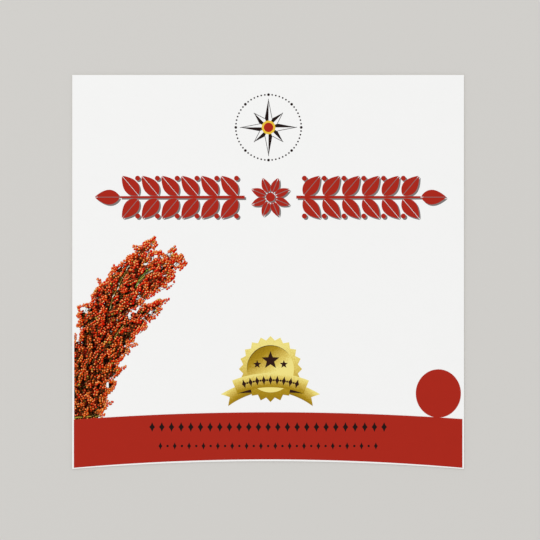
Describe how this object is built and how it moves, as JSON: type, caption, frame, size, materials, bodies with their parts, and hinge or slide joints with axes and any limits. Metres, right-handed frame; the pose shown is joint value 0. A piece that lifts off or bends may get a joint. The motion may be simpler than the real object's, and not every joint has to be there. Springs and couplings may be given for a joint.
{
  "type": "square product label",
  "caption": "Square self-adhesive paper label with an arched lower edge, on its release liner, printed with a plant picture, a gold seal and a colour band.",
  "frame": {"origin": "centre of the cut outline's box, on the underside of the release liner", "axes": "+Z out of the printed face, +Y to the label's head, +X to the reader's right"},
  "size_m": [0.1, 0.1006, 0.0004],
  "materials": {
    "liner_paper": "smooth, faintly glossy",
    "adhesive_gum": "tacky, dull",
    "face_paper": "uncoated, printed"
  },
  "bodies": {
    "root": {"release_liner": "liner_paper", "adhesive_film": "adhesive_gum", "face_sheet": "face_paper"}
  },
  "joints": []
}
